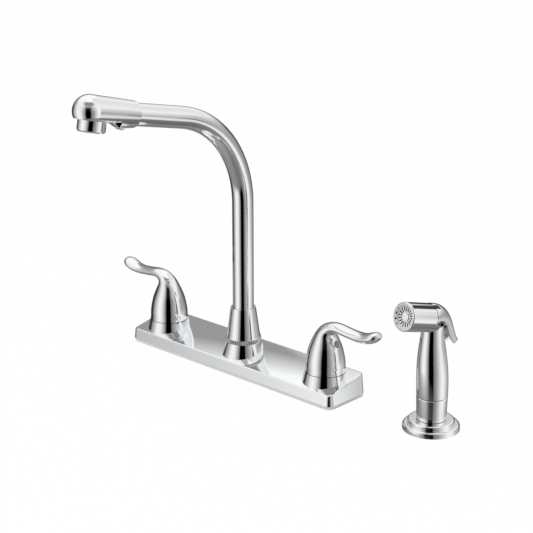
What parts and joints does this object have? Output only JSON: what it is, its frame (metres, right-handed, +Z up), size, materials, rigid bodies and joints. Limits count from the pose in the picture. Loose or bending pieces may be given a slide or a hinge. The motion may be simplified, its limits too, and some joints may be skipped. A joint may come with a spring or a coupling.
{
  "type": "two-handle deck kitchen faucet",
  "caption": "Chrome two-handle deck faucet with a high swivel spout, lever handles that turn and a lift-out side sprayer with a sprung thumb lever.",
  "frame": {"origin": "centre of the deck plate's footprint, on the sink deck's top face, on the spray hose nipple's axis", "axes": "+X along the deck plate from hot to cold, +Z up, the spout points along -Y at rest"},
  "size_m": [0.4005, 0.2236, 0.3384],
  "materials": {
    "chrome": "polished chrome plate",
    "brass": "machined brass",
    "copper": "drawn copper tube",
    "rubber": "black rubber",
    "gasket": "pale foam strip",
    "ceramic": "lapped ceramic",
    "steel": "stainless steel",
    "white_plastic": "white moulded plastic",
    "grey_plastic": "grey moulded plastic"
  },
  "bodies": {
    "deck_assembly": {"centre_body": "brass", "cold_base_ring": "chrome", "cold_bonnet_nut": "brass", "cold_cartridge": "brass", "cold_crossover": "copper", "cold_fixed_disc": "ceramic", "cold_seat_seal": "rubber", "cold_valve_body": "brass", "deck_gasket": "gasket", "deck_plate": "chrome", "deck_washers": "steel", "hot_base_ring": "chrome", "hot_bonnet_nut": "brass", "hot_cartridge": "brass", "hot_crossover": "copper", "hot_fixed_disc": "ceramic", "hot_seat_seal": "rubber", "hot_valve_body": "brass", "mounting_nuts": "brass", "spout_flange": "chrome", "spout_nut": "chrome", "spray_holder": "chrome", "spray_holder_gasket": "rubber", "spray_holder_nut": "white_plastic"},
    "hot_handle": {"hot_handle": "chrome", "hot_stem": "brass", "hot_moving_disc": "ceramic", "hot_index_button": "grey_plastic", "hot_set_screw": "steel"},
    "cold_handle": {"cold_handle": "chrome", "cold_stem": "brass", "cold_moving_disc": "ceramic", "cold_index_button": "grey_plastic", "cold_set_screw": "steel"},
    "spout": {"spout_tailpiece": "brass", "spout_o_rings": "rubber", "spout_tube": "chrome", "spout_head": "chrome", "aerator_housing": "chrome", "aerator_screen": "steel", "aerator_washer": "rubber"},
    "diverter": {"diverter_piston": "white_plastic"},
    "spray_coupling": {"hose_coupling": "chrome"},
    "spray_handle": {"spray_grip": "chrome", "swivel_washer": "rubber", "spray_face": "white_plastic", "spray_face_rim": "chrome", "spray_valve_gland": "brass", "spray_spring": "steel"},
    "spray_trigger": {"spray_trigger": "chrome", "trigger_pin": "steel"},
    "spray_valve": {"spray_valve_stem": "brass"}
  },
  "joints": [
    {"name": "spout_swivel", "type": "hinge", "parent": "deck_assembly", "child": "spout", "pos_m": [0, 0, 0.0461], "axis": [0, 0, 1], "continuous": true},
    {"name": "hot_handle_turn", "type": "hinge", "parent": "deck_assembly", "child": "hot_handle", "pos_m": [-0.1016, 0, 0.037], "axis": [0, 0, 1], "range_deg": [0, 90]},
    {"name": "cold_handle_turn", "type": "hinge", "parent": "deck_assembly", "child": "cold_handle", "pos_m": [0.1016, 0, 0.037], "axis": [0, 0, 1], "range_deg": [-90, 0]},
    {"name": "diverter_lift", "type": "slide", "parent": "deck_assembly", "child": "diverter", "axis": [0, 0, 1], "range_m": [0, 0.0025]},
    {"name": "sprayer_lift", "type": "slide", "parent": "deck_assembly", "child": "spray_coupling", "axis": [0, 0, 1], "range_m": [0, 0.09]},
    {"name": "sprayer_swivel", "type": "hinge", "parent": "spray_coupling", "child": "spray_handle", "pos_m": [0.2133, 0.0086, 0.035], "axis": [0, 0, 1], "continuous": true},
    {"name": "trigger_press", "type": "hinge", "parent": "spray_handle", "child": "spray_trigger", "pos_m": [0.21248, 0.00345, 0.10288], "axis": [-0.9877, 0.1564, 0], "range_deg": [0, 6], "stiffness_Nm_per_rad": 1, "springref_deg": -5.73},
    {"name": "valve_press", "type": "slide", "parent": "spray_handle", "child": "spray_valve", "axis": [-0.1564, -0.9877, 0], "range_m": [0, 0.0018], "deforming": ["spray_spring"]}
  ],
  "couplings": [
    {"joint": "valve_press", "follows": "trigger_press", "m_per_rad": 0.017}
  ]
}
